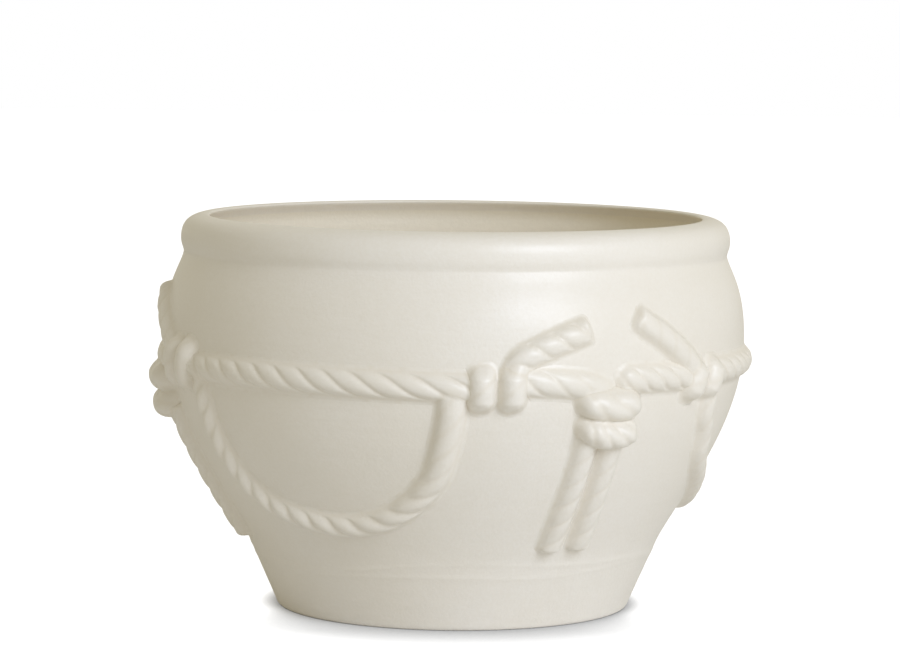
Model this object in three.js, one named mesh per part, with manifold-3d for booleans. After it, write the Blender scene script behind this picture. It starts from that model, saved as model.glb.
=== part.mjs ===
// A glazed planter pot: a round thrown body, with modelled clay cords laid on it in relief.
// Millimetres and degrees. The floor is z = 0, the pot's axis is z, and its front faces -y.
// A place on the wall is [angle, height]: the angle is 0 at the front and grows towards +x.
import * as THREE from "three";
import { mergeVertices } from "three/addons/utils/BufferGeometryUtils.js";
import Module from "manifold-3d";

// Sizes of the body
const footRadius = 102.6;
const footTopRadius = 120.3;
const footHeight = 40;
const bellyRadius = 169.2;
const bellyRise = 118;
const neckRadius = 158.4;
const neckRise = 48;
const rimRadius = 160;
const rimHeight = 21.6;
const rimRollHeight = 8;
const mouthRadius = 143.6;
const crestWidth = 3.6;
const lipDrop = 1.2;
const lipUndercut = 5.8;
const wallThickness = 9;
const floorThickness = 11;
const footRingWidth = 14;
const footRecess = 3;
const footEdgeRound = 1.6;
const footBeadHeight = 33;
const footBeadWidth = 9;
const footBeadProud = 0.7;

// Sizes of the cords
const seatGap = 0.4;
const jointGap = 0.35;
const edgeThickness = 1.2;
const grooveDepth = 0.5;
const beltWidth = 16;
const beltProud = 5.4;
const beltStrand = 14.6;
const beltBelowBelly = 11;
const swagWidth = 14.8;
const swagProud = 6.2;
const swagStrand = 13.6;
const swagDrop = 85.3;
const tailWidth = 15.5;
const tailProud = 6;
const tailStrand = 14;
const turnWidth = 17.7;
const leftTurnHeight = 25;
const turnProud = 9.6;
const pendantWidth = 39;
const pendantTurn = 20.2;
const upperTurnProud = 12;
const lowerTurnProud = 14;
const pendantStrand = 18;
const pendantBelowBelt = 13.2;
const hangingWidth = 15.2;
const hangingProud = 7;
const hangingStrand = 14;
const hangingGap = 0.5;
const layTangent = 1.15;
const slantRoom = 0.9;
const cutBelowWall = 2.6;

// Distances along the wall between pieces, and how far the standing ends reach
const turnSpacing = 16.6;
const rightKnotSlant = 4.1;
const pendantSpacing = 15.2;
const beltMeetingGap = 1.2;
const hangingSpread = 1.4;
const leftTailReach = 52.8;
const leftTailRise = 28.6;
const rightTailReach1 = 55;
const rightTailRise1 = 34.4;
const rightTailReach2 = 54;
const rightTailRise2 = 38;
const rightTailReach3 = 55.5;
const rightTailRise3 = 40.8;

// The three groups were laid by hand, so each of these lists has one angle or height for each group.
const leftKnotAngles = [7.9, 130.7, 253.9];
const pendantAngles = [30.3, 152.8, 278];
const rightKnotAngles = [54.9, 176, 295];
const hangingAsides = [-0.5, -0.4, 2.7];
const hangingLean = -0.6;
const swagStartAsides = [3.7, 5, 7.2];
const swagEndAside = -8.1;
const beltMeetingAside = 0.6;
const pendantLifts = [0, 0.7, 1.5];
const rightTurnHeights = [22.5, 22.5, 29];
const rightKnotLifts = [-3.4, -3.4, -0.1];
const hangingDrops = [98.8, 100, 103.8];

// How far the knots, and the start, middle and end of each stretch of belt, lie above the belt's height
const leftKnotLift = -3.2;
const longBeltLifts = [-0.6, -1, -2.5];
const leftBeltLifts = [0.4, -0.8, -4.5];
const rightBeltLifts = [0, -0.4, -1.2];

// How finely the shapes are faceted
const bodySegments = 56;
const lowerWallSteps = 9;
const upperWallSteps = 5;
const rimSteps = 6;
const innerWallSteps = 7;
const routeSamples = 240;
const facingReach = 3;
const rowsPerStrand = 2;

// A cord's section: its shoulders lie at these shares of its half width and of its height.
const shoulderOut = 0.74;
const shoulderUp = 0.68;

// How far the handles of the wall's and rim's curves reach, as shares of the sizes they belong to
const footHandleOut = 0.24;
const footHandleUp = 0.2;
const bellyHandleDown = 0.42;
const bellyHandleUp = 0.65;
const neckHandleOut = 0.17;
const neckHandleDown = 0.19;
const rollHandleUp = 0.52;
const crestHandleOut = 0.2;
const crestHandleDown = 0.08;

// Where the small corners lie, as shares of the sizes they belong to
const edgeCorner = 0.3;
const swellOut = 0.55;
const swellUp = 0.5;
const undercutTop = 0.26;
const undercutBottom = 0.6;
const undercutStart = 0.5;
const floorCornerIn = 0.3;
const floorCornerUp = 0.25;

// Heights that follow from the sizes
const bellyHeight = footHeight + bellyRise;
const neckHeight = bellyHeight + neckRise;
const crestHeight = neckHeight + rimHeight;
const beltHeight = bellyHeight - beltBelowBelly;

// The wall's outside is two curves that meet upright at the belly, its widest ring.
function lowerWallCurve() {
  const flare = bellyRadius - footTopRadius;
  return new THREE.CubicBezierCurve(
    new THREE.Vector2(footTopRadius, footHeight),
    new THREE.Vector2(footTopRadius + footHandleOut * flare, footHeight + footHandleUp * bellyRise),
    new THREE.Vector2(bellyRadius, bellyHeight - bellyHandleDown * bellyRise),
    new THREE.Vector2(bellyRadius, bellyHeight)
  );
}

function upperWallCurve() {
  const inset = bellyRadius - neckRadius;
  return new THREE.CubicBezierCurve(
    new THREE.Vector2(bellyRadius, bellyHeight),
    new THREE.Vector2(bellyRadius, bellyHeight + bellyHandleUp * neckRise),
    new THREE.Vector2(neckRadius + neckHandleOut * inset, neckHeight - neckHandleDown * neckRise),
    new THREE.Vector2(neckRadius, neckHeight)
  );
}

// The foot is a cone with a soft bead round it, between the rounded base edge and the wall.
function footPoints() {
  const taper = (footTopRadius - footRadius) / footHeight;
  const coneRadius = (height) => footRadius + taper * height;
  const beadShape = [[-0.5, 0], [-0.2, 0.8], [0.1, 1], [0.5, 0]];
  const bead = beadShape.map(([share, proud]) => {
    const height = footBeadHeight + share * footBeadWidth;
    return new THREE.Vector2(coneRadius(height) + proud * footBeadProud, height);
  });
  return [
    new THREE.Vector2(footRadius - footEdgeRound, 0),
    new THREE.Vector2(coneRadius(0) - edgeCorner * footEdgeRound, edgeCorner * footEdgeRound),
    new THREE.Vector2(coneRadius(footEdgeRound), footEdgeRound),
    ...bead
  ];
}

const outerWall = [
  ...footPoints(),
  ...lowerWallCurve().getPoints(lowerWallSteps),
  ...upperWallCurve().getPoints(upperWallSteps).slice(1)
];

// The rim is a roll: it swells from the neck's groove and turns over to a flat crest.
function rimPoints() {
  const crestRadius = mouthRadius + crestWidth;
  const rollHeight = neckHeight + rimRollHeight;
  const rise = crestHeight - rollHeight;
  const inset = rimRadius - crestRadius;
  const roll = new THREE.CubicBezierCurve(
    new THREE.Vector2(rimRadius, rollHeight),
    new THREE.Vector2(rimRadius, rollHeight + rollHandleUp * rise),
    new THREE.Vector2(rimRadius - crestHandleOut * inset, crestHeight - crestHandleDown * rise),
    new THREE.Vector2(crestRadius, crestHeight)
  );
  const swell = new THREE.Vector2(
    neckRadius + swellOut * (rimRadius - neckRadius),
    neckHeight + swellUp * rimRollHeight
  );
  const lipRadius = mouthRadius + lipUndercut;
  return [
    swell,
    ...roll.getPoints(rimSteps),
    new THREE.Vector2(mouthRadius, crestHeight - lipDrop),
    new THREE.Vector2(
      mouthRadius + undercutStart * lipUndercut,
      crestHeight - undercutTop * rimHeight
    ),
    new THREE.Vector2(lipRadius, crestHeight - undercutBottom * rimHeight)
  ];
}

// The inside follows the outside at the wall's thickness, from the neck down to a rounded floor corner.
function insidePoints() {
  const corner = floorThickness + wallThickness;
  const points = [];
  for (let step = innerWallSteps; step >= 0; step -= 1) {
    const height = corner + (step / innerWallSteps) * (neckHeight - corner);
    const facing = wallFacing(height);
    points.push(new THREE.Vector2(
      wallRadius(height) - wallThickness * facing.x,
      height - wallThickness * facing.y
    ));
  }
  const lowest = points[points.length - 1];
  points.push(new THREE.Vector2(
    lowest.x - floorCornerIn * wallThickness,
    floorThickness + floorCornerUp * wallThickness
  ));
  points.push(new THREE.Vector2(lowest.x - wallThickness, floorThickness));
  points.push(new THREE.Vector2(0, floorThickness));
  return points;
}

// Radius of the outside at a height, along the straight facets that the body is really made of
function wallRadius(height) {
  const last = outerWall.length - 1;
  if (height <= outerWall[0].y) return outerWall[0].x;
  for (let index = 1; index <= last; index += 1) {
    const above = outerWall[index];
    if (height > above.y && index < last) continue;
    const below = outerWall[index - 1];
    const share = Math.min((height - below.y) / (above.y - below.y), 1);
    return below.x + share * (above.x - below.x);
  }
  return outerWall[last].x;
}

// The way the wall faces at a height, as (outward, upward), smoothed over a short stretch of wall
function wallFacing(height) {
  const rise = 2 * facingReach;
  const flare = wallRadius(height + facingReach) - wallRadius(height - facingReach);
  return new THREE.Vector2(rise, -flare).normalize();
}

function wallPoint(angle, height, lift) {
  const facing = wallFacing(height);
  const radius = wallRadius(height) + lift * facing.x;
  const turn = THREE.MathUtils.degToRad(angle);
  return new THREE.Vector3(
    radius * Math.sin(turn),
    -radius * Math.cos(turn),
    height + lift * facing.y
  );
}

// A route is a smooth line through [angle, height] points, drawn on the wall unrolled at the belly.
// It gives the place and heading at a length along it, and runs on straight past its ends.
function makeRoute(points) {
  const degree = THREE.MathUtils.degToRad(bellyRadius);
  const unrolled = points.map(([angle, height]) => new THREE.Vector3(angle * degree, height, 0));
  const curve = new THREE.CatmullRomCurve3(unrolled, false, "centripetal");
  const places = curve.getPoints(routeSamples).map((point) => ({ x: point.x / degree, y: point.y }));
  const marks = places.map((place) => wallPoint(place.x, place.y, 0));
  const lengths = [0];
  for (let index = 1; index < marks.length; index += 1) {
    lengths.push(lengths[index - 1] + marks[index].distanceTo(marks[index - 1]));
  }
  const total = lengths[lengths.length - 1];

  function placeAt(length) {
    const inside = THREE.MathUtils.clamp(length, 0, total);
    let index = 1;
    while (index < lengths.length - 1 && lengths[index] < inside) index += 1;
    const from = places[index - 1];
    const to = places[index];
    const span = lengths[index] - lengths[index - 1];
    const share = (length - lengths[index - 1]) / span;
    const radius = wallRadius(from.y);
    const across = THREE.MathUtils.degToRad(to.x - from.x) * radius;
    const up = (to.y - from.y) / wallFacing(from.y).x;
    return {
      angle: from.x + share * (to.x - from.x),
      height: from.y + share * (to.y - from.y),
      heading: new THREE.Vector2(across, up).normalize()
    };
  }

  return { total, placeAt };
}

// A point beside a route: so far along it, so far to its left, and so far out from the wall
function besideRoute(route, length, left, lift) {
  const place = route.placeAt(length);
  const radius = wallRadius(place.height);
  const aside = THREE.MathUtils.radToDeg((-left * place.heading.y) / radius);
  const up = left * place.heading.x * wallFacing(place.height).x;
  return wallPoint(place.angle + aside, place.height + up, lift);
}

// How full a cord is at a distance from an end: a cut end keeps its size, a rounded one draws in
function endFullness(distance, round, least) {
  if (round <= 0 || distance >= round) return 1;
  const share = 1 - Math.max(distance, 0) / round;
  return least + (1 - least) * Math.sqrt(1 - share * share);
}

// A cord lies on the wall as a half round strip, with grooves that slant across it between its strands.
// grow makes the same cord a little larger all round, to cut its neighbours clear of it. Near a cut
// end the grooves turn square to the cord, so that they stay inside its length.
function cordGeometry(route, shape, grow = 0) {
  const halfWidth = shape.width / 2 + grow;
  const strandCount = Math.max(Math.round(route.total / shape.strand), 1);
  const rowCount = strandCount * shape.rows;
  const base = grow > 0 ? -cutBelowWall : seatGap;
  const outline = [
    [1, 0], [shoulderOut, shoulderUp], [0, 1], [-shoulderOut, shoulderUp], [-1, 0]
  ];
  const positions = [];

  for (let row = 0; row <= rowCount; row += 1) {
    const along = (row / rowCount) * route.total;
    const fromEnd = Math.min(along, route.total - along);
    const slant = Math.min(shape.lay, (slantRoom * fromEnd) / halfWidth);
    const phase = (row % shape.rows) / shape.rows;
    const groove = shape.groove * (1 - Math.sin(Math.PI * phase)) ** 2;
    const fullness = Math.min(
      endFullness(along, shape.startRound, shape.leastEnd),
      endFullness(route.total - along, shape.endRound, shape.leastEnd)
    );
    const reach = row === 0 ? -grow : row === rowCount ? grow : 0;
    const place = (side, lift) => {
      const left = side * halfWidth * (1 - shape.narrow * (1 - fullness));
      return besideRoute(route, along + reach - slant * left, left, lift);
    };
    const top = (shape.proud - edgeThickness) * fullness * (1 - groove);
    const section = [place(-1, base), place(0, base), place(1, base)];
    for (const [side, rise] of outline) {
      section.push(place(side, seatGap + edgeThickness + rise * top + grow));
    }
    for (const point of section) positions.push(point.x, point.y, point.z);
  }

  const ring = outline.length + 3;
  const indices = [];
  for (let row = 0; row < rowCount; row += 1) {
    for (let spoke = 0; spoke < ring; spoke += 1) {
      const here = row * ring + spoke;
      const beside = row * ring + ((spoke + 1) % ring);
      indices.push(here, beside, beside + ring, here, beside + ring, here + ring);
    }
  }
  const lastRow = rowCount * ring;
  const middle = 1;
  for (let spoke = 2; spoke < ring; spoke += 1) {
    const following = (spoke + 1) % ring;
    indices.push(middle, following, spoke);
    indices.push(lastRow + middle, lastRow + spoke, lastRow + following);
  }

  const geometry = new THREE.BufferGeometry();
  geometry.setAttribute("position", new THREE.Float32BufferAttribute(positions, 3));
  geometry.setIndex(indices);
  return geometry;
}

// Cuts and joins
const manifold = await Module();
manifold.setup();

function solidFrom(geometry) {
  const merged = mergeVertices(geometry);
  return new manifold.Manifold(new manifold.Mesh({
    numProp: 3,
    vertProperties: new Float32Array(merged.attributes.position.array),
    triVerts: new Uint32Array(merged.index.array)
  }));
}

function geometryFrom(solid) {
  const mesh = solid.getMesh();
  const geometry = new THREE.BufferGeometry();
  geometry.setAttribute("position", new THREE.Float32BufferAttribute(mesh.vertProperties, 3));
  geometry.setIndex(Array.from(mesh.triVerts));
  return geometry;
}

// A clay piece is one or more cords pressed into one, and what it cuts out of the cords tucked under it.
function clayPiece(...cords) {
  const join = (grow) => cords
    .map(({ route, shape }) => solidFrom(cordGeometry(route, shape, grow)))
    .reduce((whole, cord) => whole.add(cord));
  return { solid: join(0), clearance: join(jointGap) };
}

// Such a cut can leave a crumb in a corner, so the largest part is kept.
function tuckUnder(piece, ...covers) {
  const cut = covers.reduce((whole, cover) => whole.subtract(cover.clearance), piece.solid);
  const parts = cut.decompose().sort((one, other) => other.volume() - one.volume());
  return { ...piece, solid: parts[0] };
}

// The shapes of the cords
const plainEnds = { startRound: 0, endRound: 0, leastEnd: 1, narrow: 1 };
const rope = { lay: layTangent, groove: grooveDepth, rows: rowsPerStrand, ...plainEnds };
const beltShape = { ...rope, width: beltWidth, proud: beltProud, strand: beltStrand };
const swagShape = {
  ...rope,
  width: swagWidth,
  proud: swagProud,
  strand: swagStrand,
  startRound: 0.9 * beltWidth,
  endRound: 0.9 * beltWidth,
  leastEnd: 0.3,
  narrow: 0.1
};
const tailShape = {
  ...rope,
  width: tailWidth,
  proud: tailProud,
  strand: tailStrand,
  endRound: 0.3 * tailWidth,
  leastEnd: 0.6
};
const hangingShape = {
  ...rope,
  width: hangingWidth,
  proud: hangingProud,
  strand: hangingStrand,
  endRound: 0.4 * hangingWidth,
  leastEnd: 0.6
};
const turnShape = {
  lay: 0,
  groove: 0,
  rows: 7,
  strand: turnWidth,
  width: turnWidth,
  proud: turnProud,
  startRound: 0.7 * turnWidth,
  endRound: 0.7 * turnWidth,
  leastEnd: 0.4,
  narrow: 0.8
};
const pendantShape = {
  ...rope,
  lay: 0.7,
  groove: 0.25,
  width: pendantTurn,
  strand: pendantStrand,
  rows: 4,
  startRound: 0.7 * pendantTurn,
  endRound: 0.7 * pendantTurn,
  leastEnd: 0.45
};

// Places along the pendant knot's turns: shares of half its width, and millimetres above the turn's
// height. Both turns hang level at the right and rise to their left ends.
const upperTurnPoints = [[-1, 4.6], [-0.6, 1.5], [-0.1, -0.3], [0.5, 0], [1, 0.7]];
const lowerTurnPoints = [[-0.85, 6.4], [-0.5, 2], [-0.1, -0.2], [0.5, 0.2], [0.96, 2.8]];

const degreesFor = (distance, height) => THREE.MathUtils.radToDeg(distance / wallRadius(height));

// A knot where the cord is wound twice round the belt, with its two turns side by side
const turnAngle = degreesFor(turnSpacing / 2, beltHeight);
const rightSlantAngle = degreesFor(rightKnotSlant, beltHeight);

function wrapKnot(middle, turnHeight, lift, slantAngle) {
  const height = beltHeight + lift;
  const turns = [-turnAngle, turnAngle].map((aside) => ({
    shape: turnShape,
    route: makeRoute([
      [middle + aside - slantAngle, height - turnHeight / 2],
      [middle + aside, height],
      [middle + aside + slantAngle, height + turnHeight / 2]
    ])
  }));
  return clayPiece(...turns);
}

// The pendant knot has two turns one above the other on the sloping wall.
const upperTurnHeight = (lift) => beltHeight - pendantBelowBelt + lift;

function lowerTurnHeight(lift) {
  const upper = upperTurnHeight(lift);
  return upper - pendantSpacing * wallFacing(upper - pendantSpacing / 2).x;
}

function pendantKnot(middle, lift) {
  const turns = [
    [upperTurnPoints, upperTurnHeight(lift), upperTurnProud],
    [lowerTurnPoints, lowerTurnHeight(lift), lowerTurnProud]
  ].map(([points, height, proud]) => {
    const places = points.map(([across, up]) => [
      middle + degreesFor((across * pendantWidth) / 2, height),
      height + up
    ]);
    return { shape: { ...pendantShape, proud }, route: makeRoute(places) };
  });
  return clayPiece(...turns);
}

// The belt wanders a little up and down, as laid by hand.
function beltCord(fromAngle, toAngle, lifts) {
  const places = lifts.map((lift, index) => {
    const share = index / (lifts.length - 1);
    return [fromAngle + share * (toAngle - fromAngle), beltHeight + lift];
  });
  return clayPiece({ shape: beltShape, route: makeRoute(places) });
}

// The swags hang from the belt; their points are shares of a swag's span and of its drop.
const swagPoints = [
  [0, 0], [0, 0.14], [0, 0.3], [0.009, 0.455], [0.037, 0.605], [0.084, 0.75],
  [0.181, 0.885], [0.329, 0.965], [0.496, 1], [0.655, 0.975], [0.811, 0.864], [0.932, 0.65],
  [0.977, 0.395], [0.995, 0.2], [1, 0]
];
const slackSwagPoints = [
  [0, 0], [0, 0.1], [0.014, 0.277], [0.05, 0.4], [0.076, 0.52], [0.12, 0.62], [0.244, 0.77],
  [0.41, 0.93], [0.56, 1], [0.7, 0.985], [0.84, 0.87], [0.94, 0.65], [0.978, 0.395],
  [0.995, 0.2], [1, 0]
];

function swagCord(fromAngle, toAngle, shares) {
  const points = shares.map(([across, drop]) => [
    fromAngle + across * (toAngle - fromAngle),
    beltHeight - drop * swagDrop
  ]);
  return clayPiece({ shape: swagShape, route: makeRoute(points) });
}

// Short ends of cord stand up from the knots. Their points are shares of a tail's reach and of its rise.
const leftTail = {
  reach: leftTailReach,
  rise: leftTailRise,
  points: [[0.163, 0.06], [0.22, 0.36], [0.31, 0.5], [0.6, 0.745], [1, 1]]
};
const rightTails = [
  {
    reach: -rightTailReach1,
    rise: rightTailRise1,
    points: [[0.16, 0.09], [0.34, 0.325], [0.665, 0.677], [0.865, 0.86], [1, 1]]
  },
  {
    reach: -rightTailReach2,
    rise: rightTailRise2,
    points: [[0.153, 0.08], [0.35, 0.3], [0.66, 0.6], [0.88, 0.8], [1, 1]]
  },
  {
    reach: -rightTailReach3,
    rise: rightTailRise3,
    points: [[0.148, 0.07], [0.4, 0.3], [0.68, 0.58], [0.95, 0.83], [1, 1]]
  }
];

function standingTail(knotAngle, tail) {
  const places = tail.points.map(([across, up]) => [
    knotAngle + degreesFor(across * tail.reach, beltHeight),
    beltHeight + up * tail.rise
  ]);
  return clayPiece({ shape: tailShape, route: makeRoute(places) });
}

// The two ends that hang from the pendant knot lie side by side and spread a little on their way down.
function hangingCord(middle, side, top, drop) {
  const bottom = beltHeight - drop;
  const halfway = (top + bottom) / 2;
  const closest = (hangingWidth + hangingGap) / 2;
  const places = [[0, top], [0.5, halfway], [1, bottom]].map(([share, height]) => [
    middle + share * hangingLean + side * degreesFor(closest + share * hangingSpread, height),
    height
  ]);
  return clayPiece({ shape: hangingShape, route: makeRoute(places) });
}

// The model
const pot = new THREE.Group();

function addPiece(name, geometry, colour) {
  geometry.deleteAttribute("uv");
  geometry.computeVertexNormals();
  const material = new THREE.MeshStandardMaterial({ color: colour, roughness: 0.45, metalness: 0 });
  const mesh = new THREE.Mesh(geometry, material);
  mesh.name = name;
  pot.add(mesh);
}

function bodyGeometry() {
  const ringInner = footRadius - footEdgeRound - footRingWidth;
  const underside = [
    new THREE.Vector2(0, footRecess),
    new THREE.Vector2(ringInner - footRecess, footRecess),
    new THREE.Vector2(ringInner, 0)
  ];
  const profile = [...underside, ...outerWall, ...rimPoints(), ...insidePoints()];
  const body = new THREE.LatheGeometry(profile, bodySegments);
  body.rotateX(Math.PI / 2);
  body.rotateZ(-Math.PI / 2);
  return body;
}

const creamGlaze = 0xe6e1d3;
const reliefGlaze = 0xede9dd;

addPiece("pot_body", bodyGeometry(), creamGlaze);

const meetingAngle = degreesFor(beltMeetingGap / 2, beltHeight);

leftKnotAngles.forEach((leftAngle, index) => {
  const number = index + 1;
  const isLast = number === leftKnotAngles.length;
  const middle = pendantAngles[index];
  const rightAngle = rightKnotAngles[index];
  const nextLeftAngle = isLast ? leftKnotAngles[0] + 360 : leftKnotAngles[number];
  const lift = pendantLifts[index];
  const swagStart = rightAngle + swagStartAsides[index];
  const swagShares = index === 0 ? slackSwagPoints : swagPoints;
  const hanging = (side) =>
    hangingCord(middle + hangingAsides[index], side, lowerTurnHeight(lift), hangingDrops[index]);

  const leftKnot = wrapKnot(leftAngle, leftTurnHeight, leftKnotLift, 0);
  const rightKnot = wrapKnot(
    rightAngle, rightTurnHeights[index], rightKnotLifts[index], rightSlantAngle
  );
  const nextLeftKnot = wrapKnot(nextLeftAngle, leftTurnHeight, leftKnotLift, 0);
  const meeting = middle + beltMeetingAside;
  const pendant = pendantKnot(middle, lift);
  const leftEnd = tuckUnder(standingTail(leftAngle, leftTail), leftKnot);
  const rightEnd = tuckUnder(standingTail(rightAngle, rightTails[index]), rightKnot);
  const longBelt = beltCord(rightAngle + turnAngle, nextLeftAngle - turnAngle, longBeltLifts);
  const leftBelt = beltCord(leftAngle + turnAngle, meeting - meetingAngle, leftBeltLifts);
  const rightBelt = beltCord(meeting + meetingAngle, rightAngle - turnAngle, rightBeltLifts);
  const swag = swagCord(swagStart, nextLeftAngle + swagEndAside, swagShares);

  const pieces = {
    wrap_knot_left: leftKnot,
    wrap_knot_right: rightKnot,
    pendant_knot: pendant,
    cord_end_left: leftEnd,
    cord_end_right: rightEnd,
    belt_long: tuckUnder(longBelt, rightKnot, nextLeftKnot),
    belt_left: tuckUnder(leftBelt, leftKnot, leftEnd, pendant),
    belt_right: tuckUnder(rightBelt, rightKnot, rightEnd, pendant),
    swag_cord: tuckUnder(swag, rightKnot, nextLeftKnot, longBelt),
    hanging_cord_left: tuckUnder(hanging(-1), pendant),
    hanging_cord_right: tuckUnder(hanging(1), pendant)
  };
  for (const [name, piece] of Object.entries(pieces)) {
    addPiece(`${name}_${number}`, geometryFrom(piece.solid), reliefGlaze);
  }
});

export default pot;
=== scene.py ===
# %% [markdown]
# # A glazed planter pot with modelled cords
# The pot is a round ceramic body with a belt of clay cord round it, and on the belt sit knots,
# hanging ends and deep swags. Everything was covered by one cream satin glaze, which rounds off
# every edge and gathers a little in the hollows. The frame holds the true sizes, so it comes first.

import bpy
import numpy as np
from mathutils import Matrix, Vector


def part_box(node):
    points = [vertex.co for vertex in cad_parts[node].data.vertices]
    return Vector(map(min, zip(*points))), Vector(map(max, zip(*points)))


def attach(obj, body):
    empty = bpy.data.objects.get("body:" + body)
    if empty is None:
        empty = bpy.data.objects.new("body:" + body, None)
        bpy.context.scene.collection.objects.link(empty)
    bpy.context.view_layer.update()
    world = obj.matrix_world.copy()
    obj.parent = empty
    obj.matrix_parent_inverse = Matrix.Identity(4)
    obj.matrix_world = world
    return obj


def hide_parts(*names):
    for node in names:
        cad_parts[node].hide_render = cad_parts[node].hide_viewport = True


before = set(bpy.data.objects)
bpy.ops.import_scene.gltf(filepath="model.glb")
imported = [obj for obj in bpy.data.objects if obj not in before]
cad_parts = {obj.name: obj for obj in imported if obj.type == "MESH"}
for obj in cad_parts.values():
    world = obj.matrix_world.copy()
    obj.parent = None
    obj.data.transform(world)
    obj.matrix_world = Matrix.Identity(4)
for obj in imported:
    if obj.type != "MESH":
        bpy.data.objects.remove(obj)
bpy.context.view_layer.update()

MM = 0.001
print("The frame has", len(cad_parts), "nodes")

# %% [markdown]
# ## The camera
# The photograph was taken with a long lens, a little above the rim. Such a lens could be guessed
# by eye, but its distance and height also set how wide the mouth's ellipse looks, so they were
# measured: the camera stands 2.18 m from the axis and looks down by about five degrees, and it
# leans a little to one side, as a hand-set tripod does.

# %% Camera
CAMERA_PLACE = Vector((0.0, -2.1812, 0.3646))
CAMERA_AIM = Vector((-0.00275, 0.0, 0.16015))
CAMERA_LEAN = 0.0105
LENS = 149.77
SENSOR = 36.0


def make_camera():
    """A camera at CAMERA_PLACE that looks at CAMERA_AIM and leans by CAMERA_LEAN about its view."""
    data = bpy.data.cameras.new("studio_camera")
    data.lens = LENS
    data.sensor_width = SENSOR
    data.sensor_fit = "HORIZONTAL"
    camera = bpy.data.objects.new("studio_camera", data)
    bpy.context.collection.objects.link(camera)
    look = (CAMERA_AIM - CAMERA_PLACE).to_track_quat("-Z", "Y").to_matrix().to_4x4()
    lean = Matrix.Rotation(CAMERA_LEAN, 4, "Z")
    camera.matrix_world = Matrix.Translation(CAMERA_PLACE) @ look @ lean
    bpy.context.scene.camera = camera


make_camera()

# %% [markdown]
# ## The wall as two curves
# A thrown wall is one sweep of the hand, so a few straight steps would look wrong. Two Bezier
# curves that meet upright at the belly give that sweep with only a few sizes. All shapes here are
# worked out in millimetres, as the pot was measured, and become metres when a mesh is made.

# %% Sizes of the body
body_top = np.array(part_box("pot_body")[1]) / MM
BELLY_RADIUS = float(body_top[0])
CREST_HEIGHT = float(body_top[2])
FOOT_RADIUS = 102.6
FOOT_TOP_RADIUS = 120.3
FOOT_HEIGHT = 40.0
BELLY_HEIGHT = 158.0
NECK_RADIUS = 158.4
NECK_HEIGHT = 206.0
RIM_RADIUS = 160.0
RIM_ROLL_HEIGHT = 8.0
MOUTH_RADIUS = 143.6
CREST_WIDTH = 3.6
LIP_DROP = 1.2
LIP_UNDERCUT = 5.8
WALL = 9.0
FLOOR = 11.0
FOOT_RING = 14.0
FOOT_RECESS = 3.0
FOOT_EDGE = 1.6


def bezier(corners, count):
    """Points of a cubic Bezier curve: the four corners weighted by the Bernstein polynomials."""
    t = np.linspace(0.0, 1.0, count)[:, None]
    a, b, c, d = np.array(corners, float)
    return (1 - t) ** 3 * a + 3 * (1 - t) ** 2 * t * b + 3 * (1 - t) * t ** 2 * c + t ** 3 * d


def outer_curve():
    """The outside from the foot's top to the neck, as radius and height, in two curves."""
    flare = BELLY_RADIUS - FOOT_TOP_RADIUS
    rise = BELLY_HEIGHT - FOOT_HEIGHT
    inset = BELLY_RADIUS - NECK_RADIUS
    neck = NECK_HEIGHT - BELLY_HEIGHT
    lower = bezier([
        (FOOT_TOP_RADIUS, FOOT_HEIGHT),
        (FOOT_TOP_RADIUS + 0.24 * flare, FOOT_HEIGHT + 0.2 * rise),
        (BELLY_RADIUS, BELLY_HEIGHT - 0.42 * rise),
        (BELLY_RADIUS, BELLY_HEIGHT),
    ], 400)
    upper = bezier([
        (BELLY_RADIUS, BELLY_HEIGHT),
        (BELLY_RADIUS, BELLY_HEIGHT + 0.65 * neck),
        (NECK_RADIUS + 0.17 * inset, NECK_HEIGHT - 0.19 * neck),
        (NECK_RADIUS, NECK_HEIGHT),
    ], 200)
    return np.vstack([[(FOOT_RADIUS, 0.0)], lower, upper[1:]])


wall_curve = outer_curve()


def curve_radius(height):
    """The outer curve's radius at a height."""
    return np.interp(height, wall_curve[:, 1], wall_curve[:, 0])


print("Belly radius", BELLY_RADIUS, "mm, crest at", CREST_HEIGHT, "mm")

# %% [markdown]
# ## Places on the wall
# The cords follow the wall, so it helps to speak of a place on it by angle and height, as on a
# globe, and of how far out a point stands. A hand-made wall is never quite round: a few slow waves
# of a quarter of a millimetre are enough to break the machine-made look of its reflections.
# Round the foot runs a faint double ridge where the mould's parts met, drawn as two low ripples.

# %% From wall to space
# Waves round the pot: how many, how deep, where they start and, on the wall, how they climb.
WALL_WAVES = [(2, 0.22, 0.4, 0.006), (3, 0.16, 2.1, -0.011), (5, 0.09, 4.0, 0.017),
              (9, 0.05, 1.2, 0.05)]
SEAM_WAVES = [(2, 2.2, 0.6), (5, 1.3, 2.0)]
SEAM_GAP_WAVES = [(3, 1.6, 1.1)]
SEAM_HEIGHT = 33.5
SEAM_GAP = 2.6
SEAM_PROUD = 0.22
SEAM_WIDTH = 1.5
SLOPE_REACH = 1.5


def waving(value, turn, waves):
    """A value that rises and falls in sine waves round the pot."""
    for count, depth, start in waves:
        value = value + depth * np.sin(count * turn + start)
    return value


def foot_seam(turn, height):
    """Two low ridges round the foot: bell curves about two slowly waving heights."""
    middle = waving(SEAM_HEIGHT, turn, SEAM_WAVES)
    gap = waving(SEAM_GAP, turn, SEAM_GAP_WAVES)
    ridges = [np.exp(-((height - middle - side * gap) / SEAM_WIDTH) ** 2) for side in (-1, 1)]
    return SEAM_PROUD * (ridges[0] + ridges[1])


def wall_radius(angle, height):
    """Radius at a height from the curve, plus the slow waves and the seam at that angle."""
    turn = np.radians(angle)
    radius = curve_radius(height)
    for count, depth, start, climb in WALL_WAVES:
        radius = radius + depth * np.sin(count * turn + start + climb * height)
    return radius + foot_seam(turn, height)


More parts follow.
